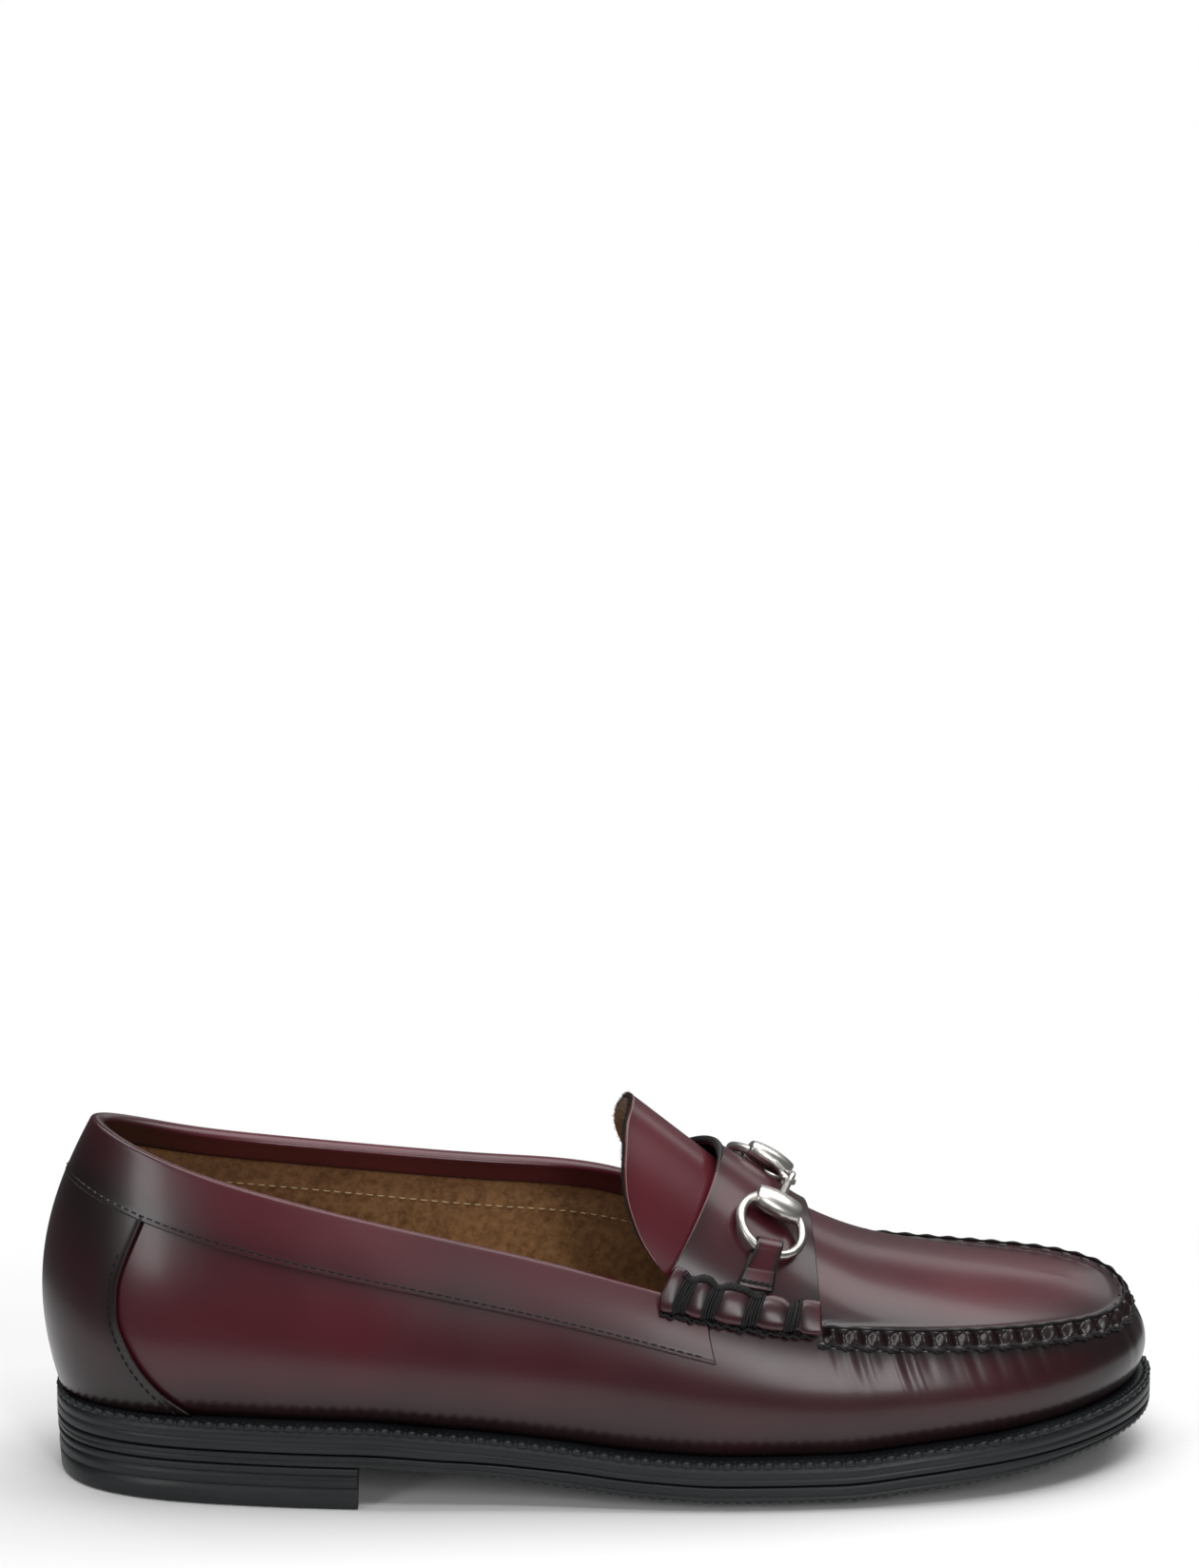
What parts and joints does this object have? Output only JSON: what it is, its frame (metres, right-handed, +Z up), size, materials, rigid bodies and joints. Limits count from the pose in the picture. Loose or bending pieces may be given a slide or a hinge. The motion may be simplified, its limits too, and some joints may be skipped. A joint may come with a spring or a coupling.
{
  "type": "bit loafer",
  "caption": "Moccasin-toe dress loafer with a low heel, tongue, saddle strap, beef rolls and a metal snaffle-style bit; right foot.",
  "frame": {"origin": "on the floor, at the centre of the heel's flat base", "axes": "+X to the toe, +Y to the inner (medial) side of the foot, +Z up"},
  "size_m": [0.3001, 0.0996, 0.0995],
  "materials": {
    "upper": "glossy brushed-off burgundy",
    "sole": "satin black",
    "insole": "brown suede",
    "bit": "antiqued silver"
  },
  "bodies": {
    "root": {"outsole": "sole", "midsole": "sole", "heel": "sole", "insole": "insole", "upper": "upper", "tongue": "upper", "heel_counter": "upper", "collar_band": "upper", "saddle_strap": "upper", "beef_roll_lateral": "upper", "beef_roll_medial": "upper", "bit_lateral": "bit", "bit_medial": "bit", "keeper_lateral": "upper", "keeper_medial": "upper"}
  },
  "joints": []
}
